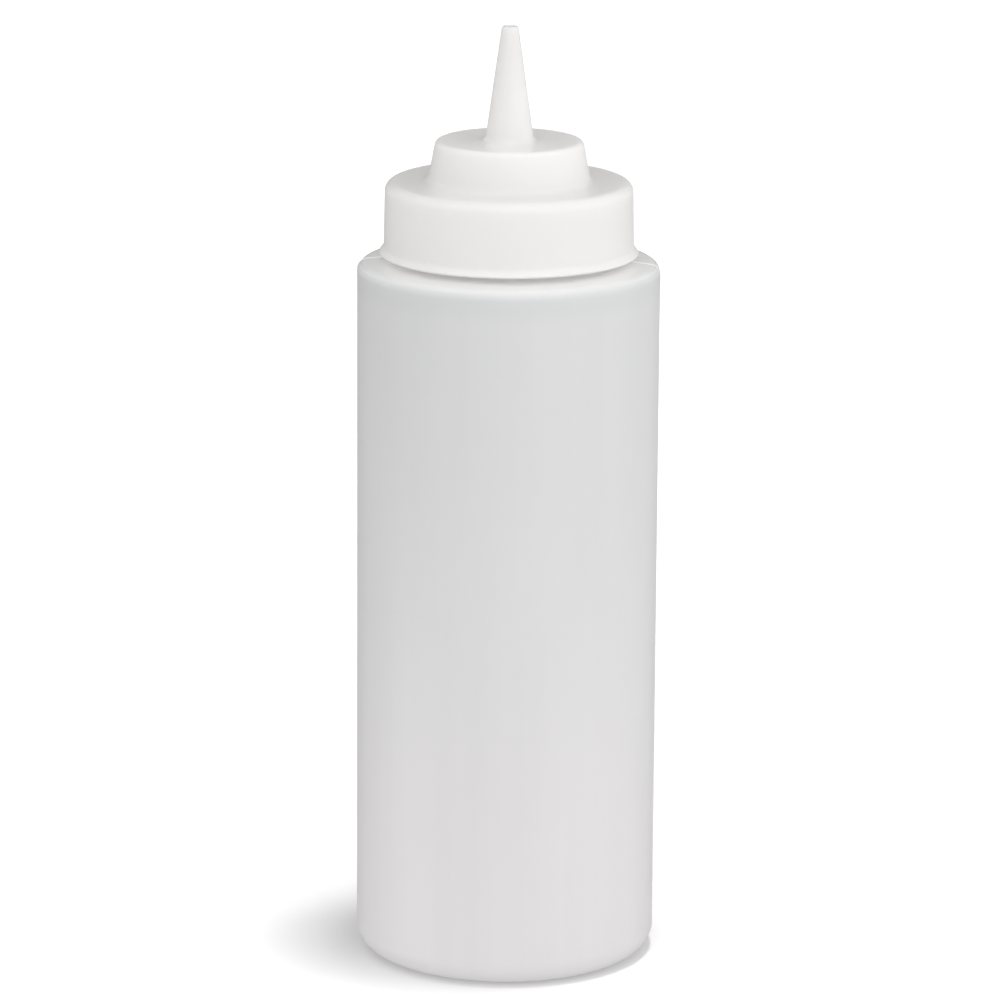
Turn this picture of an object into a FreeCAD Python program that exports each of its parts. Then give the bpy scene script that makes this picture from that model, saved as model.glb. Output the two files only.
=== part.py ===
import FreeCAD, Part  # FreeCAD has to be imported before Part
import math
import os
import re

import Sketcher

# Wide-mouth squeeze bottle with a screw-on cone-tip cap.
# Millimetres, +Z up, origin at the centre of the circle that the bottle stands on.
# Every piece is turned about Z. "Radius" is the distance from Z, and "height" is Z.

SIZES = {
    # Bottle body and its raised base
    "body_radius": 41.3,
    "body_wall": 1.3,
    "base_corner": 6.7,
    "base_wall": 1.8,
    "rise_height": 3.4,
    "rise_top_radius": 22.0,
    "rise_foot_radius": 29.0,
    "rise_blend": 6.0,
    # Bottle shoulder and neck
    "shoulder_edge": 193.85,
    "shoulder_slope": 7.0,
    "shoulder_corner": 2.6,
    "shoulder_wall": 1.6,
    "neck_radius": 29.9,
    "neck_wall": 2.0,
    "neck_blend": 2.4,
    "rim_height": 213.2,
    "rim_edge": 0.5,
    # Screw thread: the ridges on the neck and in the cap share one helix, a set drop apart
    "thread_lead": 6.0,
    "thread_start": 201.6,
    "thread_drop": 1.9,
    "ridge_root": 0.5,
    "neck_ridge_turns": 1.5,
    "neck_ridge_crest": 31.0,
    "neck_ridge_foot": 1.25,
    "neck_ridge_top": 0.55,
    "cap_ridge_turns": 1.25,
    "cap_ridge_crest": 30.2,
    "cap_ridge_foot": 1.1,
    "cap_ridge_top": 0.45,
    # Cap skirt and its flared lip
    "lip_height": 196.6,
    "lip_radius": 35.2,
    "lip_thickness": 0.55,
    "lip_edge": 0.25,
    "flare_height": 2.6,
    "flare_blend": 3.0,
    "skirt_foot_radius": 34.05,
    "skirt_top_radius": 33.7,
    "skirt_bore": 31.6,
    # Cap steps
    "lower_deck": 216.5,
    "lower_deck_wall": 2.3,
    "lower_deck_corner": 2.8,
    "step_foot_radius": 22.1,
    "step_blend": 2.2,
    "step_top_radius": 20.05,
    "step_wall": 1.9,
    "upper_deck": 227.7,
    "upper_deck_wall": 1.9,
    "upper_deck_corner": 1.6,
    # Cap nozzle
    "nozzle_foot_radius": 6.6,
    "nozzle_blend": 1.8,
    "nozzle_tip_radius": 2.25,
    "nozzle_tip": 258.8,
    "nozzle_tip_edge": 0.55,
    "nozzle_wall": 1.6,
    "orifice_radius": 1.25,
    "orifice_length": 3.0,
    # Sealing liner between the rim and the cap, and the bead that keeps it in the cap
    "liner_thickness": 1.0,
    "liner_radius": 31.35,
    "liner_bore": 27.4,
    "bead_radius": 31.2,
    "bead_height": 0.9,
    "bead_gap": 0.1,
}

# Heights that follow from the sizes
SHOULDER_TOP = "shoulder_edge + (body_radius - neck_radius) * tan(shoulder_slope * 1deg)"
SHOULDER_UNDERSIDE = (
    "shoulder_edge - shoulder_wall"
    " + (body_radius - neck_radius + neck_wall) * tan(shoulder_slope * 1deg)"
)
LINER_SEAT = "lower_deck - lower_deck_wall"
BEAD_TOP = f"{LINER_SEAT} - liner_thickness - bead_gap"


def formula(text):
    """The text with every size name in it turned into a reference to that cell of the sheet."""
    return re.sub(r"[a-z_]{2,}", lambda m: f"Sizes.{m[0]}" if m[0] in SIZES else m[0], text)


def make_sheet(doc):
    """The sheet of sizes: a name in column A, and its value in column B under an alias."""
    sheet = doc.addObject("Spreadsheet::Sheet", "Sizes")
    for row, (name, value) in enumerate(SIZES.items(), start=1):
        sheet.set(f"A{row}", name.replace("_", " "))
        sheet.set(f"B{row}", str(value))
        sheet.setAlias(f"B{row}", name)
    doc.recompute()
    return sheet


def number(doc, text):
    """The value of a formula, in millimetres."""
    found = doc.getObject("Sizes").evalExpression(formula(text))
    return float(getattr(found, "Value", found))


def rounding(before, corner, after, radius):
    """Centre and ends of the arc of that radius that rounds a corner between two others."""
    to_before = (before - corner).normalize()
    to_after = (after - corner).normalize()
    half = to_before.getAngle(to_after) / 2
    centre = corner + (to_before + to_after).normalize() * (radius / math.sin(half))
    reach = radius / math.tan(half)
    return centre, corner + to_before * reach, corner + to_after * reach


def hold(sketch, geometry, point, kind, text, value):
    """Holds a point's distance from the sketch's origin at a formula, or at zero on an axis."""
    if abs(value) < 1e-6:
        axis = -2 if kind == "DistanceX" else -1
        sketch.addConstraint(Sketcher.Constraint("PointOnObject", geometry, point, axis))
        return
    index = sketch.addConstraint(Sketcher.Constraint(kind, -1, 1, geometry, point, value))
    sketch.setExpression(f"Constraints[{index}]", formula(text))


def outline(body, name, corners):
    """A closed sketch in the XZ plane through corners given as formulas.

    Each corner is (radius, height) where the sides meet sharply, or (radius, height, rounding).
    """
    doc = body.Document
    sketch = body.newObject("Sketcher::SketchObject", name)
    plane = next(f for f in body.Origin.OriginFeatures if f.Role == "XZ_Plane")
    sketch.AttachmentSupport = (plane, [""])
    sketch.MapMode = "FlatFace"

    count = len(corners)
    places = [FreeCAD.Vector(number(doc, c[0]), number(doc, c[1]), 0) for c in corners]
    arcs = {}
    for i, corner in enumerate(corners):
        if len(corner) == 3:
            radius = number(doc, corner[2])
            arcs[i] = rounding(places[i - 1], places[i], places[(i + 1) % count], radius)

    # Side i runs from corner i to the next corner, short of any rounding
    for i in range(count):
        following = (i + 1) % count
        start = arcs[i][2] if i in arcs else places[i]
        end = arcs[following][1] if following in arcs else places[following]
        sketch.addGeometry(Part.LineSegment(start, end), False)

    for i, corner in enumerate(corners):
        if i not in arcs:
            sketch.addConstraint(Sketcher.Constraint("Coincident", (i - 1) % count, 2, i, 1))
            hold(sketch, i, 1, "DistanceX", corner[0], places[i].x)
            hold(sketch, i, 1, "DistanceY", corner[1], places[i].y)
            continue
        add_rounding(sketch, i, count, corner, places, arcs[i])
    doc.recompute()
    return sketch


def add_rounding(sketch, i, count, corner, places, arc):
    """The arc at corner i, tangent to both sides, and the point where the sides would meet."""
    centre, start, end = arc
    arriving = places[i] - places[i - 1]
    leaving = places[(i + 1) % count] - places[i]
    turns_left = arriving.cross(leaving).z > 0
    first, last = (start, end) if turns_left else (end, start)
    circle = Part.Circle(centre, FreeCAD.Vector(0, 0, 1), (first - centre).Length)
    curve = Part.ArcOfCircle(circle, angle_at(first, centre), angle_at(last, centre))
    arc_index = sketch.addGeometry(curve, False)
    corner_index = sketch.addGeometry(Part.Point(places[i]), True)
    start_end, finish_end = (1, 2) if turns_left else (2, 1)
    side_before = (i - 1) % count
    for constraint in (
        Sketcher.Constraint("Tangent", side_before, 2, arc_index, start_end),
        Sketcher.Constraint("Tangent", arc_index, finish_end, i, 1),
        Sketcher.Constraint("PointOnObject", corner_index, 1, side_before),
        Sketcher.Constraint("PointOnObject", corner_index, 1, i),
    ):
        sketch.addConstraint(constraint)
    hold(sketch, corner_index, 1, "DistanceX", corner[0], places[i].x)
    hold(sketch, corner_index, 1, "DistanceY", corner[1], places[i].y)
    index = sketch.addConstraint(Sketcher.Constraint("Radius", arc_index, circle.Radius))
    sketch.setExpression(f"Constraints[{index}]", formula(corner[2]))


def angle_at(place, centre):
    """Direction of a place as seen from a centre, in radians."""
    return math.atan2(place.y - centre.y, place.x - centre.x)


def turned(body, kind, name, corners):
    """A Revolution or a Groove: an outline taken all the way round Z."""
    sketch = outline(body, f"{name}_outline", corners)
    feature = body.newObject(f"PartDesign::{kind}", name)
    feature.Profile = sketch
    feature.ReferenceAxis = (sketch, ["V_Axis"])
    feature.Angle = 360.0
    body.Document.recompute()


def ridge(body, name, turns, root, middle):
    """A right-handed screw ridge, wide at its root radius and narrow at its crest."""
    corners = [
        (root, f"{middle} - {name}_foot"),
        (f"{name}_crest", f"{middle} - {name}_top"),
        (f"{name}_crest", f"{middle} + {name}_top"),
        (root, f"{middle} + {name}_foot"),
    ]
    sketch = outline(body, f"{name}_outline", corners)
    feature = body.newObject("PartDesign::AdditiveHelix", name)
    feature.Profile = sketch
    feature.ReferenceAxis = (sketch, ["V_Axis"])
    feature.Mode = "pitch-turns-angle"
    feature.setExpression("Pitch", formula("thread_lead"))
    feature.setExpression("Turns", formula(turns))
    body.Document.recompute()


def make_bottle(body):
    """The blow-moulded bottle: raised base, round body, shoulder and threaded neck."""
    outside = [
        ("0", "rise_height"),
        ("rise_top_radius", "rise_height", "rise_blend"),
        ("rise_foot_radius", "0", "rise_blend"),
        ("body_radius", "0", "base_corner"),
        ("body_radius", "shoulder_edge", "shoulder_corner"),
        ("neck_radius", SHOULDER_TOP, "neck_blend"),
        ("neck_radius", "rim_height", "rim_edge"),
        ("0", "rim_height"),
    ]
    inside = [
        ("0", "rise_height + base_wall"),
        ("rise_top_radius", "rise_height + base_wall", "rise_blend"),
        ("rise_foot_radius", "base_wall", "rise_blend"),
        ("body_radius - body_wall", "base_wall", "base_corner - body_wall"),
        ("body_radius - body_wall", "shoulder_edge - shoulder_wall", "shoulder_corner - body_wall"),
        ("neck_radius - neck_wall", SHOULDER_UNDERSIDE, "neck_blend + shoulder_wall"),
        ("neck_radius - neck_wall", "rim_height + 1"),
        ("0", "rim_height + 1"),
    ]
    turned(body, "Revolution", "outside", outside)
    turned(body, "Groove", "inside", inside)
    ridge(body, "neck_ridge", "neck_ridge_turns", "neck_radius - ridge_root", "thread_start")


def make_cap(body):
    """The moulded cap: threaded skirt with a flared lip, two steps and a hollow cone nozzle."""
    outside = [
        ("0", "lip_height"),
        ("lip_radius", "lip_height", "lip_edge"),
        ("lip_radius", "lip_height + lip_thickness", "lip_edge"),
        ("skirt_foot_radius", "lip_height + flare_height", "flare_blend"),
        ("skirt_top_radius", "lower_deck", "lower_deck_corner"),
        ("step_foot_radius", "lower_deck", "step_blend"),
        ("step_top_radius", "upper_deck", "upper_deck_corner"),
        ("nozzle_foot_radius", "upper_deck", "nozzle_blend"),
        ("nozzle_tip_radius", "nozzle_tip", "nozzle_tip_edge"),
        ("0", "nozzle_tip"),
    ]
    inside = [
        ("0", "lip_height - 1"),
        ("skirt_bore", "lip_height - 1"),
        ("skirt_bore", f"{BEAD_TOP} - bead_height"),
        ("bead_radius", f"{BEAD_TOP} - bead_height / 2"),
        ("bead_radius", BEAD_TOP),
        ("skirt_bore", f"{BEAD_TOP} + bead_gap"),
        ("skirt_bore", LINER_SEAT),
        ("step_foot_radius - step_wall", LINER_SEAT),
        ("step_top_radius - step_wall", "upper_deck - upper_deck_wall"),
        ("nozzle_foot_radius - nozzle_wall", "upper_deck - upper_deck_wall"),
        ("orifice_radius", "nozzle_tip - orifice_length"),
        ("orifice_radius", "nozzle_tip + 1"),
        ("0", "nozzle_tip + 1"),
    ]
    turned(body, "Revolution", "outside", outside)
    turned(body, "Groove", "inside", inside)
    ridge(
        body,
        "cap_ridge",
        "cap_ridge_turns",
        "skirt_bore + ridge_root",
        "thread_start - thread_drop",
    )


def make_liner(body):
    """The soft flat ring that seals the cap on the rim."""
    ring = [
        ("liner_bore", "rim_height"),
        ("liner_radius", "rim_height"),
        ("liner_radius", "rim_height + liner_thickness"),
        ("liner_bore", "rim_height + liner_thickness"),
    ]
    turned(body, "Revolution", "ring", ring)


def check(doc, bodies):
    """Stops on a failed object, a loose sketch, or a piece that isn't one valid solid."""
    for item in doc.Objects:
        if {"Invalid", "Error"} & set(item.State):
            raise ValueError(f"{item.Name} failed")
        if item.TypeId == "Sketcher::SketchObject" and not item.FullyConstrained:
            raise ValueError(f"{item.Name} isn't fully constrained")
    for body in bodies:
        shape = body.Shape
        if shape.isNull() or not shape.isValid() or len(shape.Solids) != 1:
            raise ValueError(f"{body.Label} isn't one valid solid")
        print(f"{body.Label}: {shape.Volume / 1000:.2f} cm3")


def main():
    doc = FreeCAD.newDocument("squeeze_bottle")
    make_sheet(doc)
    makers = {"bottle": make_bottle, "cone_cap": make_cap, "rim_liner": make_liner}
    bodies = []
    for label, make in makers.items():
        body = doc.addObject("PartDesign::Body", label)
        body.Label = label
        body.Placement = FreeCAD.Placement()
        make(body)
        bodies.append(body)
    doc.recompute()
    check(doc, bodies)
    os.makedirs("parts", exist_ok=True)
    for body in bodies:
        body.Shape.exportStep(f"parts/{body.Label}.step")


main()
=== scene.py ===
import math

import bpy
import numpy as np
from mathutils import Matrix, Vector


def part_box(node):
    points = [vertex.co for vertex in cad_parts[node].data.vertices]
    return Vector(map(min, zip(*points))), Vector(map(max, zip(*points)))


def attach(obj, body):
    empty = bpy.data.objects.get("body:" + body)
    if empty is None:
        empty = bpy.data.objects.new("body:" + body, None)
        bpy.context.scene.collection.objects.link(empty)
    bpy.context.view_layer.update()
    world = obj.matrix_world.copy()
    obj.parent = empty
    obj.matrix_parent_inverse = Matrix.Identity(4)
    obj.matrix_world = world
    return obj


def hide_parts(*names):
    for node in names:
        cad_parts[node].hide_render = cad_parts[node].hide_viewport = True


# A wide-mouth squeeze bottle with a screw-on cone-tip cap, dressed around its CAD frame.
# Outlines are in millimetres from the frame's origin, as (radius, height); Blender's objects are
# in metres. Each piece is one closed surface turned about Z, with its relief added row by row.

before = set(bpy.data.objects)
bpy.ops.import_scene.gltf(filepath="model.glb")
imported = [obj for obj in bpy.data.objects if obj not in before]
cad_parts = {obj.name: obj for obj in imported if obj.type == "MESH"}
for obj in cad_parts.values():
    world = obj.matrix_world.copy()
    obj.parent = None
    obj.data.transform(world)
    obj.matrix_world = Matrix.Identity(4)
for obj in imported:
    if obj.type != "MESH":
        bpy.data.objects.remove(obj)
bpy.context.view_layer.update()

MM = 0.001
SKIN = 0.06  # how far plain surfaces stay inside the CAD ones, so that seams can stand proud


def node_box(node):
    """Lowest and highest corner of a CAD node, in millimetres."""
    low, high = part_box(node)
    return low / MM, high / MM


_, bottle_high = node_box("bottle")
cap_low, cap_high = node_box("cone_cap")
liner_low, liner_high = node_box("rim_liner")

# Bottle
BODY_RADIUS = bottle_high.x - SKIN
RIM_HEIGHT = bottle_high.z
BODY_WALL = 1.3
BASE_CORNER = 6.7
BASE_WALL = 1.8
RISE_HEIGHT = 3.4
RISE_TOP_RADIUS = 22.0
RISE_FOOT_RADIUS = 29.0
RISE_BLEND = 6.0
SHOULDER_EDGE = 193.85
SHOULDER_SLOPE = math.radians(7.0)
SHOULDER_CORNER = 2.6
SHOULDER_WALL = 1.6
NECK_RADIUS = 29.9
NECK_WALL = 2.0
NECK_BLEND = 2.4
RIM_EDGE = 0.45

# Thread: one right-handed helix, with the cap's ridge a set drop below the neck's. A ridge is
# twice its foot wide at the wall and twice its top wide at the crest.
THREAD_LEAD = 6.0
THREAD_START = 201.6
THREAD_DROP = 1.9
NECK_TURNS = 1.5
NECK_CREST = 1.05
NECK_RIDGE_FOOT = 1.25
NECK_RIDGE_TOP = 0.55
CAP_TURNS = 1.25
CAP_CREST = 1.35
CAP_RIDGE_FOOT = 1.1
CAP_RIDGE_TOP = 0.45
THREAD_FADE = 0.05  # in turns, at each end

# Cap
LIP_HEIGHT = cap_low.z
LIP_RADIUS = cap_high.x
LIP_THICKNESS = 0.55
LIP_EDGE = 0.25
FLARE_HEIGHT = 2.0
FLARE_BLEND = 1.8
SKIRT_FOOT_RADIUS = 34.05
SKIRT_TOP_RADIUS = 33.7
SKIRT_BORE = 31.6
LOWER_DECK = 216.5
LOWER_DECK_WALL = 2.3
STEP_FOOT_RADIUS = 22.1
STEP_TOP_RADIUS = 20.05
STEP_WALL = 1.9
UPPER_DECK = 227.7
UPPER_DECK_WALL = 1.9
NOZZLE_FOOT_RADIUS = 6.6
NOZZLE_TIP_RADIUS = 2.25
NOZZLE_TIP = cap_high.z
NOZZLE_WALL = 1.6
ORIFICE_RADIUS = 1.25
ORIFICE_LENGTH = 3.0

# Liner
LINER_BORE = 27.4
LINER_RADIUS = liner_high.x
LINER_BOTTOM = liner_low.z
LINER_TOP = liner_high.z

# Mould parting line: the angle from +X of the plane where the two halves of the bottle's mould met
SEAM_ANGLE = math.radians(-4.2)
SEAM_HALF_WIDTH = 0.34
SEAM_RISE = 0.17
SEAM_SIDES = (SEAM_ANGLE, SEAM_ANGLE + math.pi)

# Slight unevenness of the blown wall, and the pinch-off line under the base
RIPPLE_DEPTH = 0.12
RIPPLE_FADE_LOW = 20.0
RIPPLE_FADE_HIGH = 12.0
SCAR_LENGTH = 37.0
SCAR_HALF_WIDTH = 0.75
SCAR_RISE = 0.55
SCAR_SINK = 0.15

# The most that a rounding turns between two rows, and the columns of points round a turned piece.
# Close ones beside each parting line, at offsets in degrees, take the place of any even one that
# is not clear of them.
ARC_STEP = math.radians(11)
COLUMNS = 240
LINER_COLUMNS = 180
SCAR_COLUMNS = 20
FINE_OFFSETS = (-0.9, -0.6, -0.36, -0.24, -0.12, 0.0, 0.12, 0.24, 0.36, 0.6, 0.9)
FINE_CLEAR = math.radians(0.4)


def smooth(t):
    """0 to 1 with soft ends as t goes from 0 to 1."""
    t = np.clip(t, 0.0, 1.0)
    return t * t * (3.0 - 2.0 * t)


def outline(corners):
    """Rows of points (radius, height) along a path of corners.

    Each corner is (radius, height, rounding, step): the rounding is the radius of the arc there,
    and the step is the most that two rows may be apart on the side that follows it.
    """
    points = [np.array(c[:2], float) for c in corners]
    rows = [points[0]]
    for i in range(1, len(corners)):
        here, step = points[i], corners[i - 1][3]
        rounding = corners[i][2]
        if i == len(corners) - 1 or rounding == 0:
            add_side(rows, here, step)
            continue
        before = points[i - 1] - here
        after = points[i + 1] - here
        before /= np.linalg.norm(before)
        after /= np.linalg.norm(after)
        half = math.acos(float(np.clip(before @ after, -1, 1))) / 2
        reach = rounding / math.tan(half)
        bisector = (before + after) / np.linalg.norm(before + after)
        centre = here + bisector * rounding / math.sin(half)
        start = here + before * reach
        end = here + after * reach
        add_side(rows, start, step)
        turn = math.pi - 2 * half
        count = max(3, math.ceil(turn / ARC_STEP))
        first = start - centre
        side = np.sign(first[0] * (end - centre)[1] - first[1] * (end - centre)[0])
        for k in range(1, count + 1):
            a = side * turn * k / count
            spin = np.array([[math.cos(a), -math.sin(a)], [math.sin(a), math.cos(a)]])
            rows.append(centre + spin @ first)
    return np.array(rows)


def add_side(rows, end, step):
    """Adds evenly spaced rows from the last one to end, none further apart than step."""
    start = rows[-1]
    count = max(1, math.ceil(np.linalg.norm(end - start) / step))
    for k in range(1, count + 1):
        rows.append(start + (end - start) * k / count)


def row_normals(rows):
    """The direction that each row's surface faces, square to the outline."""
    along = np.gradient(rows, axis=0)
    along /= np.maximum(np.linalg.norm(along, axis=1, keepdims=True), 1e-9)
    return np.stack([along[:, 1], -along[:, 0]], axis=1)


def columns(count, fine_at=()):
    """Angles round Z: evenly spaced ones, and close ones beside each angle in fine_at."""
    even = np.arange(count) * 2 * math.pi / count
    close = [a + math.radians(d) for a in fine_at for d in FINE_OFFSETS]
    angles = [a for a in even if all(abs(turn_between(a, c)) > FINE_CLEAR for c in close)]
    return np.sort(np.mod(np.array(angles + close), 2 * math.pi))


def turn_between(a, b):
    """The signed angle from b to a, between minus and plus half a turn."""
    return (a - b + math.pi) % (2 * math.pi) - math.pi


def turned(rows, angles, relief=None):
    """A closed shell, as points and faces: the rows turned about Z, moved out by the relief.

    relief(angle, radius, height, row) gives millimetres, for arrays of one value per point. The
    first and last rows close on the axis where their radius is 0, and onto each other otherwise.
    """
    normals = row_normals(rows)
    count, across = len(rows), len(angles)
    angle = np.broadcast_to(angles, (count, across))
    radius = np.repeat(rows[:, :1], across, axis=1)
    height = np.repeat(rows[:, 1:], across, axis=1)
    row = np.repeat(np.arange(count)[:, None], across, axis=1)
    if relief is not None:
        proud = relief(angle, radius, height, row)
        radius = radius + proud * normals[:, :1]
        height = height + proud * normals[:, 1:]
    capped = rows[0, 0] < 1e-6
    inner = slice(1, count - 1) if capped else slice(0, count)
    r, z, a = radius[inner], height[inner], angle[inner]
    points = np.stack([r * np.cos(a), r * np.sin(a), z], axis=-1).reshape(-1, 3)
    lines = r.shape[0]
    index = np.arange(lines * across).reshape(lines, across)
    beside = np.roll(index, -1, axis=1)
    faces = np.stack([index[:-1], beside[:-1], beside[1:], index[1:]], axis=-1).reshape(-1, 4)
    faces = faces.tolist()
    if capped:
        bottom, top = len(points), len(points) + 1
        poles = [[0, 0, height[0, 0]], [0, 0, height[-1, 0]]]
        points = np.vstack([points, poles])
        faces += [[bottom, int(beside[0, j]), int(index[0, j])] for j in range(across)]
        faces += [[top, int(index[-1, j]), int(beside[-1, j])] for j in range(across)]
    else:
        ends = np.stack([index[-1], beside[-1], beside[0], index[0]], axis=-1)
        faces += ends.tolist()
    return points, faces


def make_piece(name, shells, node, body):
    """One object from closed shells of points in millimetres, in place of a CAD node."""
    points = np.vstack([shell[0] for shell in shells])
    faces = []
    start = 0
    for shell_points, shell_faces in shells:
        faces += [[start + corner for corner in face] for face in shell_faces]
        start += len(shell_points)
    mesh = bpy.data.meshes.new(name)
    mesh.from_pydata((points * MM).tolist(), [], faces)
    mesh.shade_smooth()
    mesh.update()
    piece = bpy.data.objects.new(name, mesh)
    bpy.context.scene.collection.objects.link(piece)
    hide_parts(node)
    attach(piece, body)
    return piece


def ridge(angle, height, start, turns, foot, top, crest):
    """A screw ridge's height above its wall: flat on top, sloping sides, and faded ends."""
    proud = np.zeros_like(height)
    for whole in range(math.ceil(turns) + 1):
        done = angle / (2 * math.pi) + whole
        from_middle = np.abs(height - start - THREAD_LEAD * done)
        shape = smooth((foot - from_middle) / (foot - top))
        ends = smooth(done / THREAD_FADE) * smooth((turns - done) / THREAD_FADE)
        proud = np.maximum(proud, np.where((done >= 0) & (done <= turns), shape * ends, 0))
    return proud * crest


def seam(angle, radius, height):
    """The raised parting line, where the plane at SEAM_ANGLE cuts the surface above the base."""
    off = np.abs(radius * np.sin(angle - SEAM_ANGLE))
    above_base = smooth((height - 1.0) / 2.0) * (radius > NECK_RADIUS - NECK_WALL)
    return SEAM_RISE * smooth(1.0 - off / SEAM_HALF_WIDTH) * above_base


def ripple(angle, height):
    """The blown wall's slight unevenness: long shallow hollows, none of them outwards."""
    wave = (
        np.sin(2 * angle + 0.013 * height + 0.6)
        + 0.6 * np.sin(5 * angle - 0.021 * height + 2.1)
        + 0.5 * np.sin(0.045 * height + 3 * angle + 4.0)
        + 0.3 * np.sin(9 * angle + 0.06 * height)
    )
    highest = 1.0 + 0.6 + 0.5 + 0.3
    return RIPPLE_DEPTH * (wave / highest - 1.0) / 2


def pinch_scar():
    """The line left under the base where the mould pinched the hot tube shut."""
    half = SCAR_LENGTH / 2
    capsule = [
        (0.0, -half, 0, 0.3),
        (1.0, -half, 0.9, 1.5),
        (1.0, half, 0.9, 0.3),
        (0.0, half, 0, 0.3),
    ]
    points, faces = turned(outline(capsule), columns(SCAR_COLUMNS))
    along = np.array([math.cos(SEAM_ANGLE), math.sin(SEAM_ANGLE), 0.0])
    across = np.array([-math.sin(SEAM_ANGLE), math.cos(SEAM_ANGLE), 0.0])
    uneven = 1.0 + 0.18 * np.sin(points[:, 2] * 0.9) + 0.1 * np.sin(points[:, 2] * 2.3 + 1.0)
    placed = points[:, 2:] * along + (points[:, :1] * SCAR_HALF_WIDTH * uneven[:, None]) * across
    placed[:, 2] = RISE_HEIGHT + SCAR_SINK + points[:, 1] * SCAR_RISE * uneven
    return placed, faces


def make_bottle():
    """The blow-moulded bottle, walls and all, from the middle of its base up, over and down."""
    slope = math.tan(SHOULDER_SLOPE)
    shoulder_top = SHOULDER_EDGE + (BODY_RADIUS - NECK_RADIUS) * slope
    inner_radius = BODY_RADIUS - BODY_WALL
    neck_bore = NECK_RADIUS - NECK_WALL
    inner_edge = SHOULDER_EDGE - SHOULDER_WALL
    inner_top = inner_edge + (inner_radius - neck_bore) * slope
    outside = [
        (0.0, RISE_HEIGHT, 0, 2.0),
        (RISE_TOP_RADIUS, RISE_HEIGHT, RISE_BLEND, 1.5),
        (RISE_FOOT_RADIUS, 0.0, RISE_BLEND, 1.2),
        (BODY_RADIUS, 0.0, BASE_CORNER, 4.0),
        (BODY_RADIUS, SHOULDER_EDGE, SHOULDER_CORNER, 1.0),
        (NECK_RADIUS, shoulder_top, NECK_BLEND, 0.2),
        (NECK_RADIUS, RIM_HEIGHT, RIM_EDGE, 0.4),
    ]
    inside = [
        (neck_bore, RIM_HEIGHT, RIM_EDGE, 2.0),
        (neck_bore, inner_top, NECK_BLEND + SHOULDER_WALL, 1.5),
        (inner_radius, inner_edge, SHOULDER_CORNER - BODY_WALL, 6.0),
        (inner_radius, BASE_WALL, BASE_CORNER - BODY_WALL, 2.0),
        (RISE_FOOT_RADIUS, BASE_WALL, RISE_BLEND, 1.5),
        (RISE_TOP_RADIUS, RISE_HEIGHT + BASE_WALL, RISE_BLEND, 2.5),
        (0.0, RISE_HEIGHT + BASE_WALL, 0, 2.0),
    ]
    rows = outline(outside + inside)
    rim_row = int(np.argmax(rows[:, 1]))
    angles = columns(COLUMNS, SEAM_SIDES)

    def relief(angle, radius, height, row):
        on_outside = row < rim_row
        on_neck = on_outside & (height > shoulder_top) & (radius > neck_bore + 1)
        shape = NECK_TURNS, NECK_RIDGE_FOOT, NECK_RIDGE_TOP, NECK_CREST
        thread = ridge(angle, height, THREAD_START, *shape)
        on_body = on_outside & (radius > BODY_RADIUS - 0.01)
        low_fade = smooth((height - BASE_CORNER) / RIPPLE_FADE_LOW)
        high_fade = smooth((SHOULDER_EDGE - 2 - height) / RIPPLE_FADE_HIGH)
        return (
            np.where(on_outside, seam(angle, radius, height), 0)
            + np.where(on_neck, thread, 0)
            + np.where(on_body, ripple(angle, height) * low_fade * high_fade, 0)
        )

    shells = [turned(rows, angles, relief), pinch_scar()]
    return make_piece("bottle_shell", shells, "bottle", "bottle")


def make_cap():
    """The moulded cap, from the inside of its lip out, up over the nozzle and down its bore."""
    seat = LOWER_DECK - LOWER_DECK_WALL
    bead_top = LINER_BOTTOM - 0.1
    outside = [
        (SKIRT_BORE, LIP_HEIGHT, LIP_EDGE, 0.8),
        (LIP_RADIUS, LIP_HEIGHT, LIP_EDGE, 0.3),
        (LIP_RADIUS, LIP_HEIGHT + LIP_THICKNESS, LIP_EDGE, 0.5),
        (SKIRT_FOOT_RADIUS, LIP_HEIGHT + FLARE_HEIGHT, FLARE_BLEND, 1.5),
        (SKIRT_TOP_RADIUS, LOWER_DECK, 2.8, 1.2),
        (STEP_FOOT_RADIUS, LOWER_DECK, 2.2, 1.0),
        (STEP_TOP_RADIUS, UPPER_DECK, 1.6, 1.2),
        (NOZZLE_FOOT_RADIUS, UPPER_DECK, 1.8, 1.5),
        (NOZZLE_TIP_RADIUS, NOZZLE_TIP, 0.55, 0.2),
    ]
    inside = [
        (ORIFICE_RADIUS, NOZZLE_TIP, 0.15, 0.8),
        (ORIFICE_RADIUS, NOZZLE_TIP - ORIFICE_LENGTH, 4.0, 2.0),
        (NOZZLE_FOOT_RADIUS - NOZZLE_WALL, UPPER_DECK - UPPER_DECK_WALL, 0.8, 1.5),
        (STEP_TOP_RADIUS - STEP_WALL, UPPER_DECK - UPPER_DECK_WALL, 0.8, 1.2),
        (STEP_FOOT_RADIUS - STEP_WALL, seat, 0.5, 1.2),
        (SKIRT_BORE, seat, 0.15, 0.4),
        (SKIRT_BORE, bead_top + 0.1, 0.05, 0.2),
        (SKIRT_BORE - 0.4, bead_top, 0.1, 0.2),
        (SKIRT_BORE - 0.4, bead_top - 0.45, 0.2, 0.2),
        (SKIRT_BORE, bead_top - 0.9, 0.2, 0.2),
        (SKIRT_BORE, LIP_HEIGHT + LIP_EDGE, 0, 0.2),
    ]
    rows = outline(outside + inside)
    tip_row = int(np.argmax(rows[:, 1]))

    def relief(angle, radius, height, row):
        in_skirt = (row > tip_row) & (radius > SKIRT_BORE - 0.01) & (height < bead_top - 1.0)
        shape = CAP_TURNS, CAP_RIDGE_FOOT, CAP_RIDGE_TOP, CAP_CREST
        thread = ridge(angle, height, THREAD_START - THREAD_DROP, *shape)
        return np.where(in_skirt, thread, 0)

    shell = turned(rows, columns(COLUMNS), relief)
    return make_piece("cap_shell", [shell], "cone_cap", "cap")


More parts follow.
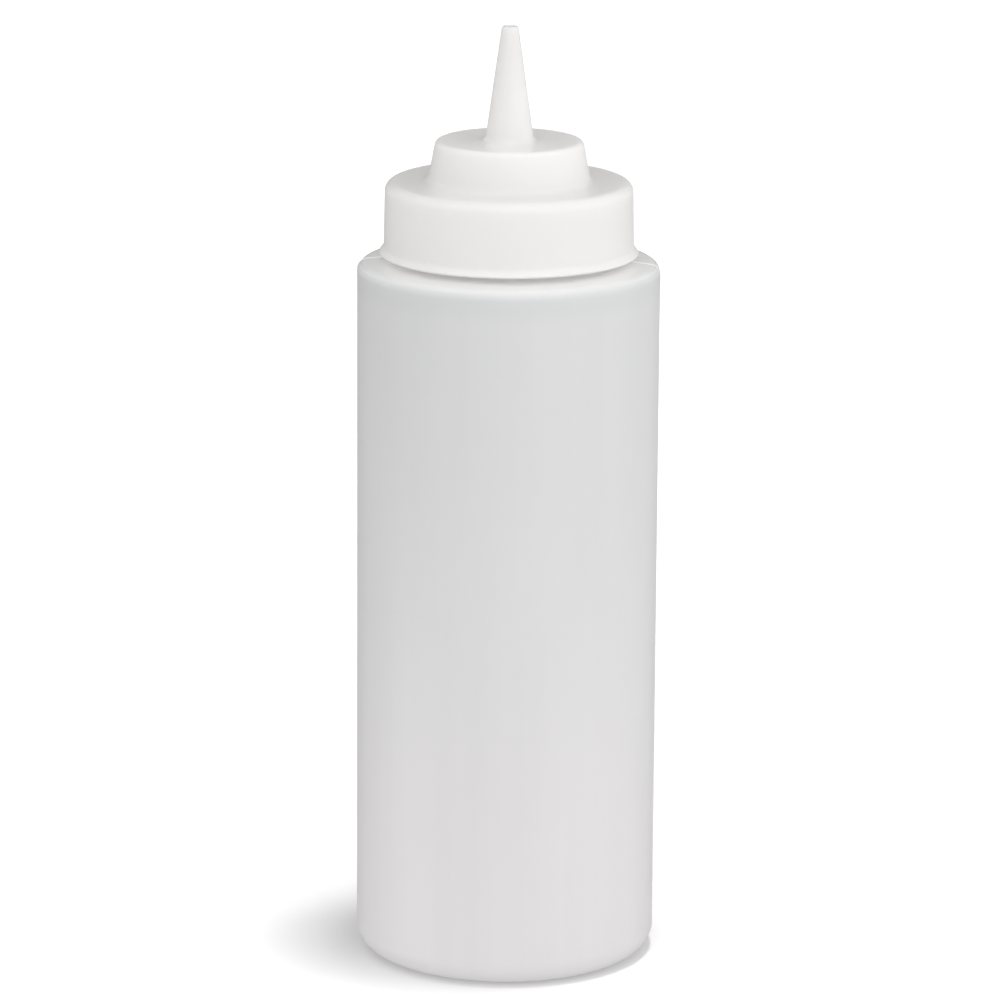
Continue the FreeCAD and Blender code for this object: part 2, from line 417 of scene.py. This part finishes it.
def make_liner():
    """The soft ring under the cap's deck, rounded, with a shallow groove top and bottom."""
    middle = (LINER_BORE + LINER_RADIUS) / 2
    section = [
        (LINER_BORE, LINER_BOTTOM + 0.3, 0, 0.2),
        (LINER_BORE, LINER_BOTTOM, 0.25, 0.3),
        (middle, LINER_BOTTOM + 0.08, 0.5, 0.3),
        (LINER_RADIUS, LINER_BOTTOM, 0.25, 0.2),
        (LINER_RADIUS, LINER_TOP, 0.25, 0.3),
        (middle, LINER_TOP - 0.08, 0.5, 0.3),
        (LINER_BORE, LINER_TOP, 0.25, 0.2),
        (LINER_BORE, LINER_BOTTOM + 0.5, 0, 0.2),
    ]
    ring = turned(outline(section), columns(LINER_COLUMNS))
    return make_piece("sealing_ring", [ring], "rim_liner", "liner")


# Camera: aimed at a point in millimetres from so many metres away, with angles in degrees
LENS = 206.5
SENSOR_WIDTH = 36.0
CAMERA_AIM = (-1.94, 0.0, 127.24)
CAMERA_DISTANCE = 1.5763
CAMERA_PITCH = 14.04
CAMERA_ROLL = 0.37


def make_camera():
    """A long lens in front of the object, looking down on it a little."""
    camera = bpy.data.objects.new("camera", bpy.data.cameras.new("camera"))
    bpy.context.scene.collection.objects.link(camera)
    camera.data.lens = LENS
    camera.data.sensor_width = SENSOR_WIDTH
    camera.data.clip_start = 0.05
    camera.data.clip_end = 50.0
    pitch = math.radians(CAMERA_PITCH)
    back = Vector((0, -math.cos(pitch), math.sin(pitch)))
    look = (-back).to_track_quat("-Z", "Y").to_matrix().to_4x4()
    place = Matrix.Translation(Vector(CAMERA_AIM) * MM + back * CAMERA_DISTANCE)
    roll = Matrix.Rotation(math.radians(CAMERA_ROLL), 4, "Z")
    camera.matrix_world = place @ look @ roll
    bpy.context.scene.camera = camera


class Nodes:
    """A short way to build one material's node tree around its Principled shader."""

    def __init__(self, name):
        self.material = bpy.data.materials.new(name)
        self.material.use_nodes = True
        self.tree = self.material.node_tree
        self.shader = self.tree.nodes["Principled BSDF"]
        self.place = self.add("ShaderNodeTexCoord").outputs["Object"]
        self.split = None

    def add(self, kind, **settings):
        """A new node with its settings."""
        node = self.tree.nodes.new(kind)
        for key, value in settings.items():
            setattr(node, key, value)
        return node

    def feed(self, socket, value):
        """Links a node's output to a socket, or sets the socket to a constant."""
        if isinstance(value, bpy.types.NodeSocket):
            self.tree.links.new(value, socket)
        else:
            socket.default_value = value

    def math(self, operation, *values):
        """The result of one Math node."""
        node = self.add("ShaderNodeMath", operation=operation)
        for socket, value in zip(node.inputs, values):
            self.feed(socket, value)
        return node.outputs[0]

    def add_up(self, first, second):
        """The sum of two values."""
        return self.math("ADD", first, second)

    def both(self, first, second):
        """The product of two values: where both masks are on, or a value times a factor."""
        return self.math("MULTIPLY", first, second)

    def axis(self, name):
        """One coordinate of the surface point, in metres in the row frame."""
        if self.split is None:
            self.split = self.add("ShaderNodeSeparateXYZ")
            self.feed(self.split.inputs[0], self.place)
        return self.split.outputs[name]

    def radius(self):
        """The surface point's distance from the Z axis, in metres."""
        x, y = self.axis("X"), self.axis("Y")
        squares = self.add_up(self.both(x, x), self.both(y, y))
        return self.math("SQRT", squares)

    def noise(self, scale, detail=2.0, stretch=(1, 1, 1)):
        """Noise from 0 to 1, its features 1/scale metres across, longer where stretch is small."""
        mapping = self.add("ShaderNodeMapping")
        mapping.inputs["Scale"].default_value = stretch
        self.feed(mapping.inputs["Vector"], self.place)
        texture = self.add("ShaderNodeTexNoise")
        texture.inputs["Scale"].default_value = scale
        texture.inputs["Detail"].default_value = detail
        self.feed(texture.inputs["Vector"], mapping.outputs[0])
        return texture.outputs["Fac"]

    def ramp(self, value, low, high, to_low=0.0, to_high=1.0):
        """Value taken from low..high to to_low..to_high, smoothly and no further."""
        node = self.add("ShaderNodeMapRange", interpolation_type="SMOOTHSTEP")
        for key, number in (("Value", value), ("From Min", low), ("From Max", high)):
            self.feed(node.inputs[key], number)
        for key, number in (("To Min", to_low), ("To Max", to_high)):
            self.feed(node.inputs[key], number)
        return node.outputs[0]

    def between(self, length, low, high, to_low=0.0, to_high=1.0):
        """As ramp, with the limits of a length given in millimetres."""
        return self.ramp(length, low * MM, high * MM, to_low, to_high)

    def over(self, length, limit, soft=0.2):
        """1 where a length is over a limit and 0 under it; limit and softness in millimetres."""
        return self.between(length, limit - soft, limit + soft)

    def under(self, length, limit, soft=0.2):
        """1 where a length is under a limit and 0 over it; limit and softness in millimetres."""
        return self.between(length, limit + soft, limit - soft)

    def mix_colors(self, factor, first, second):
        """First where the factor is 0 and second where it is 1; each a node's output or an RGB."""
        node = self.add("ShaderNodeMix", data_type="RGBA")
        self.feed(node.inputs["Factor"], factor)
        for socket, color in ((node.inputs[6], first), (node.inputs[7], second)):
            self.feed(socket, color if isinstance(color, bpy.types.NodeSocket) else (*color, 1))
        return node.outputs[2]

    def bumps(self, layers):
        """A chain of bumps from (height, distance in metres) pairs, into the shader's normal."""
        normal = None
        for height, distance in layers:
            node = self.add("ShaderNodeBump")
            node.inputs["Distance"].default_value = distance
            self.feed(node.inputs["Height"], height)
            if normal is not None:
                self.feed(node.inputs["Normal"], normal)
            normal = node.outputs[0]
        self.feed(self.shader.inputs["Normal"], normal)

    def sinks_in(self, depth):
        """Lets all the light go in, and come out again up to about that many metres away."""
        self.shader.inputs["Subsurface Weight"].default_value = 1.0
        self.shader.inputs["Subsurface Radius"].default_value = (1.0, 1.0, 1.0)
        self.shader.inputs["Subsurface Scale"].default_value = depth

    def shines_through(self, color, share):
        """Lets a share of the light out on the far side of the wall, tinted by the colour."""
        far_side = self.add("ShaderNodeBsdfTranslucent")
        self.feed(far_side.inputs["Color"], color)
        mix = self.add("ShaderNodeMixShader")
        self.feed(mix.inputs["Fac"], share)
        self.feed(mix.inputs[1], self.shader.outputs["BSDF"])
        self.feed(mix.inputs[2], far_side.outputs["BSDF"])
        self.feed(self.tree.nodes["Material Output"].inputs["Surface"], mix.outputs[0])


# Colours as linear RGB, a darker and a paler one where noise mottles the surface
BODY_TONES = (0.707, 0.714, 0.721), (0.807, 0.805, 0.807)
LOW_BODY_TONES = (0.754, 0.74, 0.745), (0.845, 0.833, 0.833)
# Painted shade: the body's top, just under the shoulder's edge, darker
BODY_TOP_PAINTED_SHADE = (0.63, 0.638, 0.645)
# Painted light: the shoulder paler, for the cap's bright reflection in it
SHOULDER_PAINTED_LIGHT = (0.905, 0.905, 0.902)
# Painted highlight: the parting line's ridge whiter on the shoulder
PARTING_LINE_PAINTED_HIGHLIGHT = (0.995, 0.995, 0.99)
BOTTLE_INSIDE_COLOR = (0.97, 0.967, 0.962)
CAP_TONES = (0.964, 0.952, 0.937), (0.984, 0.974, 0.959)
NOZZLE_TIP_COLOR = (0.905, 0.893, 0.88)
SILICONE_TONES = (0.78, 0.78, 0.76), (0.84, 0.84, 0.82)

# Roughness, which varies with noise, and the share of light that goes through. Each surface's
# roughness stays on one side of 0.27: the denoiser draws hard edges where it crosses that.
BODY_ROUGHNESS = 0.36
BODY_ROUGHNESS_SPREAD = 0.1
SHOULDER_POLISH = 0.24
CAP_ROUGHNESS = 0.29
CAP_ROUGHNESS_SPREAD = 0.08
SILICONE_ROUGHNESS = 0.5
SILICONE_ROUGHNESS_SPREAD = 0.12
OUTSIDE_SHARE = 0.3
SHOULDER_EXTRA_SHARE = 0.2
BOTTLE_INSIDE_SHARE = 0.5
CAP_INSIDE_SHARE = 0.6
SINK_DEPTH = 3.0  # how far light spreads inside the cap's plastic, in millimetres

# Floor, in metres: its width, and where its glow starts and is full, from the object's axis
FLOOR_SIZE = 8.0
GLOW_START = 0.15
GLOW_FULL = 0.55
FLOOR_GLOW = 0.45
FLOOR_COLOR = (0.76, 0.76, 0.76)


def inside_of_bottle(nodes, height, radius):
    """1 on the bottle's inner surfaces and 0 outside, with limits that lie within its walls."""
    slope = math.tan(SHOULDER_SLOPE)
    wall_middle = BODY_RADIUS - BODY_WALL / 2
    shoulder_middle = SHOULDER_EDGE - SHOULDER_WALL / 2 + wall_middle * slope
    level = nodes.add_up(height, nodes.both(radius, slope))
    in_wall = nodes.both(nodes.under(radius, wall_middle), nodes.under(level, shoulder_middle))
    in_wall = nodes.both(in_wall, nodes.over(height, BASE_CORNER + 0.7, 0.4))

    rise = (RISE_TOP_RADIUS, RISE_FOOT_RADIUS, RISE_HEIGHT + BASE_WALL / 2, BASE_WALL / 2)
    over_base = nodes.math("GREATER_THAN", height, nodes.ramp(radius, *np.multiply(rise, MM)))
    in_base = nodes.both(nodes.under(radius, BODY_RADIUS - BASE_CORNER - BODY_WALL), over_base)

    in_neck = nodes.under(radius, NECK_RADIUS - NECK_WALL / 2)
    in_neck = nodes.both(in_neck, nodes.over(height, SHOULDER_EDGE - 6.0, 2.0))
    return nodes.math("MAXIMUM", nodes.math("MAXIMUM", in_wall, in_base), in_neck)


def parting_line(nodes):
    """1 on the plane where the two halves of the mould met, over the parting line's width."""
    sideways = nodes.both(nodes.axis("X"), math.sin(SEAM_ANGLE))
    forwards = nodes.both(nodes.axis("Y"), math.cos(SEAM_ANGLE))
    off = nodes.math("ABSOLUTE", nodes.math("SUBTRACT", sideways, forwards))
    return nodes.under(off, SEAM_HALF_WIDTH, 0.1)


def frosted_plastic():
    """Natural blow-moulded polyethylene: cloudy and satin, polished on the shoulder and neck, with
    painted light on the shoulder and its parting line and painted shade just under the shoulder.
    """
    nodes = Nodes("frosted_plastic")
    height, radius = nodes.axis("Z"), nodes.radius()
    cloud = nodes.noise(22, 3.0, (1, 1, 0.3))
    streaks = nodes.noise(160, 2.0, (1, 1, 0.03))
    shade = nodes.add_up(nodes.both(cloud, 0.65), nodes.both(streaks, 0.35))
    upper = nodes.mix_colors(shade, *BODY_TONES)
    lower = nodes.mix_colors(shade, *LOW_BODY_TONES)
    wall = nodes.mix_colors(nodes.between(height, 190, 20), upper, lower)
    # Painted shade: the wall darkens just under the shoulder's edge
    wall = nodes.mix_colors(nodes.between(height, 184, 192, 0.0, 0.4), wall, BODY_TOP_PAINTED_SHADE)
    shoulder_and_neck = nodes.over(height, SHOULDER_EDGE - 0.3, 0.55)
    # Painted light: the shoulder and neck paler than the body, for the cap's bright reflection in
    # the glossy shoulder
    outside = nodes.mix_colors(shoulder_and_neck, wall, SHOULDER_PAINTED_LIGHT)
    # Painted highlight: the parting line whiter on the shoulder and neck, for the light its ridge
    # catches
    on_seam = nodes.both(parting_line(nodes), shoulder_and_neck)
    outside = nodes.mix_colors(on_seam, outside, PARTING_LINE_PAINTED_HIGHLIGHT)
    inside = inside_of_bottle(nodes, height, radius)
    color = nodes.mix_colors(inside, outside, BOTTLE_INSIDE_COLOR)
    nodes.feed(nodes.shader.inputs["Base Color"], color)

    satin = nodes.both(nodes.noise(60, 3.0), BODY_ROUGHNESS_SPREAD)
    satin = nodes.add_up(satin, BODY_ROUGHNESS)
    rough = nodes.math("SUBTRACT", satin, nodes.both(shoulder_and_neck, SHOULDER_POLISH))
    nodes.feed(nodes.shader.inputs["Roughness"], rough)
    hollows = nodes.noise(28, 2.0, (1, 1, 0.35))
    grain = nodes.noise(1600, 2.0)
    nodes.bumps([(hollows, 0.5 * MM), (streaks, 0.03 * MM), (grain, 0.02 * MM)])

    share = nodes.ramp(inside, 0.0, 1.0, OUTSIDE_SHARE, BOTTLE_INSIDE_SHARE)
    share = nodes.add_up(share, nodes.ramp(shoulder_and_neck, 0.0, 1.0, 0.0, SHOULDER_EXTRA_SHARE))
    share = nodes.both(share, nodes.between(height, 2, 10, 0.7, 1.0))
    nodes.shines_through(color, share)
    return nodes.material


def milky_plastic():
    """Injection-moulded polyethylene: whiter and smoother, with faint upright flow lines."""
    nodes = Nodes("milky_plastic")
    height = nodes.axis("Z")
    flow = nodes.noise(90, 2.0, (1, 1, 0.12))
    cloud = nodes.noise(35, 3.0)
    shade = nodes.add_up(nodes.both(flow, 0.4), nodes.both(cloud, 0.6))
    color = nodes.mix_colors(shade, *CAP_TONES)
    color = nodes.mix_colors(nodes.between(height, 230, 258), color, NOZZLE_TIP_COLOR)
    nodes.feed(nodes.shader.inputs["Base Color"], color)
    rough = nodes.both(nodes.noise(120, 3.0), CAP_ROUGHNESS_SPREAD)
    nodes.feed(nodes.shader.inputs["Roughness"], nodes.add_up(rough, CAP_ROUGHNESS))
    nodes.bumps([(cloud, 0.3 * MM), (nodes.noise(2200, 2.0), 0.01 * MM)])
    nodes.sinks_in(SINK_DEPTH * MM)

    # The inside of the skirt, up to the middle of the deck's wall, and the lip's underside
    in_skirt = nodes.under(nodes.radius(), (SKIRT_BORE + SKIRT_FOOT_RADIUS) / 2, 0.25)
    in_skirt = nodes.both(in_skirt, nodes.under(height, LOWER_DECK - LOWER_DECK_WALL / 2, 0.25))
    under_lip = nodes.under(height, LIP_HEIGHT + LIP_EDGE, 0.15)
    inside = nodes.math("MAXIMUM", in_skirt, under_lip)
    nodes.shines_through(color, nodes.ramp(inside, 0.0, 1.0, OUTSIDE_SHARE, CAP_INSIDE_SHARE))
    return nodes.material


def silicone():
    """Soft whitish silicone, matt, with a faint grain."""
    nodes = Nodes("silicone")
    color = nodes.mix_colors(nodes.noise(300, 3.0), *SILICONE_TONES)
    nodes.feed(nodes.shader.inputs["Base Color"], color)
    rough = nodes.both(nodes.noise(500, 2.0), SILICONE_ROUGHNESS_SPREAD)
    nodes.feed(nodes.shader.inputs["Roughness"], nodes.add_up(rough, SILICONE_ROUGHNESS))
    nodes.bumps([(nodes.noise(1500, 3.0), 0.03 * MM)])
    nodes.shines_through(color, OUTSIDE_SHARE)
    return nodes.material


def make_stage():
    """The plain pale floor, overexposed away from the object as in a catalogue photograph.

    The object and its reflections don't see the floor: they see the lower half of the room.
    """
    bpy.ops.mesh.primitive_plane_add(size=FLOOR_SIZE, location=(0, 0, 0))
    floor = bpy.context.object
    floor.name = "floor"
    nodes = Nodes("floor_white")
    nodes.shader.inputs["Base Color"].default_value = (*FLOOR_COLOR, 1)
    nodes.shader.inputs["Roughness"].default_value = 0.9
    nodes.shader.inputs["Specular IOR Level"].default_value = 0.2
    nodes.shader.inputs["Emission Color"].default_value = (1, 1, 1, 1)
    glow = nodes.ramp(nodes.radius(), GLOW_START, GLOW_FULL, 0.0, FLOOR_GLOW)
    nodes.feed(nodes.shader.inputs["Emission Strength"], glow)
    floor.data.materials.append(nodes.material)
    floor.visible_diffuse = False
    floor.visible_glossy = False
    floor.visible_transmission = False
    floor.visible_shadow = False
    return floor


# The studio's light, by direction: an even room that brightens towards +X, the front and the
# ceiling, with soft patches that are darker or lighter than it. Each patch is (azimuth from the
# front towards +X, elevation, half-angle where it begins, half-angle where it is full, gain).
OBJECT_MIDDLE = Vector((0, 0, 0.13))
ROOM_LEVEL = 0.84
ROOM_SLOPE = (0.153, -0.216, 0.212)
PATCHES = {
    "behind the camera": (0, 0, 32, 12, -0.16),
    "behind the object": (180, 5, 70, 20, -0.15),
    "low behind": (180, 14, 30, 14, -0.42),
    "left of the camera": (-38, 5, 30, 15, -0.12),
    "left": (-80, 5, 30, 15, -0.02),
    "behind on the left": (-120, 5, 40, 15, 0.10),
    "behind on the right": (120, 5, 40, 15, 0.075),
    "right of the camera": (45, 5, 30, 15, 0.135),
    "right": (85, 5, 30, 15, 0.17),
    "behind and above": (180, 50, 40, 15, -0.36),
    "below": (0, -50, 55, 25, 0.16),
}


def toward(azimuth, elevation):
    """The unit vector in a direction given in degrees, azimuth 0 being -Y and 90 being +X."""
    a, e = math.radians(azimuth), math.radians(elevation)
    return Vector((math.sin(a) * math.cos(e), -math.cos(a) * math.cos(e), math.sin(e)))


def make_room():
    """The world's light: the room's slope and patches, added up for each direction."""
    world = bpy.data.worlds.new("studio")
    bpy.context.scene.world = world
    world.use_nodes = True
    tree = world.node_tree

    def dot(first, second):
        node = tree.nodes.new("ShaderNodeVectorMath")
        node.operation = "DOT_PRODUCT"
        tree.links.new(first, node.inputs[0])
        node.inputs[1].default_value = second
        return node.outputs["Value"]

    def add(first, second):
        node = tree.nodes.new("ShaderNodeMath")
        node.operation = "ADD"
        tree.links.new(first, node.inputs[0])
        if isinstance(second, float):
            node.inputs[1].default_value = second
        else:
            tree.links.new(second, node.inputs[1])
        return node.outputs[0]

    direction = tree.nodes.new("ShaderNodeTexCoord").outputs["Generated"]
    level = add(dot(direction, ROOM_SLOPE), ROOM_LEVEL)
    for azimuth, elevation, begin, full, gain in PATCHES.values():
        patch = tree.nodes.new("ShaderNodeMapRange")
        patch.interpolation_type = "SMOOTHSTEP"
        tree.links.new(dot(direction, toward(azimuth, elevation)), patch.inputs["Value"])
        patch.inputs["From Min"].default_value = math.cos(math.radians(begin))
        patch.inputs["From Max"].default_value = math.cos(math.radians(full))
        patch.inputs["To Max"].default_value = gain
        level = add(level, patch.outputs[0])
    background = tree.nodes["Background"]
    background.inputs["Color"].default_value = (1, 1, 1, 1)
    tree.links.new(level, background.inputs["Strength"])


def add_panel(name, azimuth, elevation, distance, size, radiance):
    """A soft square light panel, in metres, in a direction from the object's middle, facing it."""
    light = bpy.data.lights.new(name, "AREA")
    light.shape = "SQUARE"
    light.size = size
    light.energy = radiance * math.pi * size * size
    lamp = bpy.data.objects.new(name, light)
    bpy.context.scene.collection.objects.link(lamp)
    lamp.location = OBJECT_MIDDLE + distance * toward(azimuth, elevation)
    lamp.rotation_mode = "QUATERNION"
    lamp.rotation_quaternion = toward(azimuth, elevation).to_track_quat("Z", "Y")
    lamp.visible_camera = False
    return lamp


def group_of(name, thing):
    """A collection that holds one object, for light linking."""
    group = bpy.data.collections.new(name)
    group.objects.link(thing)
    return group


def light_only(lamp, thing):
    """Keeps a lamp's light to one object, where all the others still cast shadows."""
    lamp.light_linking.receiver_collection = group_of(lamp.name + "_lights", thing)


def light_through(lamp, thing):
    """Lights one object alone, not shaded by others or seen in its gloss: light through the cap."""
    light_only(lamp, thing)
    lamp.light_linking.blocker_collection = group_of(lamp.name + "_shadows", thing)
    lamp.visible_glossy = False


bottle = make_bottle()
cap = make_cap()
liner = make_liner()
bottle.data.materials.append(frosted_plastic())
cap.data.materials.append(milky_plastic())
liner.data.materials.append(silicone())
floor = make_stage()
make_room()
add_panel("right_softbox", 30, 55, distance=1.4, size=1.15, radiance=0.58)
add_panel("left_softbox", -40, 55, distance=1.4, size=1.15, radiance=0.44)
add_panel("left_bounce", -75, -32, distance=0.30, size=0.15, radiance=1.5)
floor_lamp = add_panel("floor_light", 90, 86.5, distance=1.3, size=0.2, radiance=90.0)
light_only(floor_lamp, floor)
shoulder_lamp = add_panel("shoulder_light", 180, 87, distance=1.3, size=0.3, radiance=18.0)
light_through(shoulder_lamp, bottle)
make_camera()
bpy.context.scene.view_settings.view_transform = "Standard"
bpy.context.scene.cycles.diffuse_bounces = 12  # enough for light inside the pale bottle
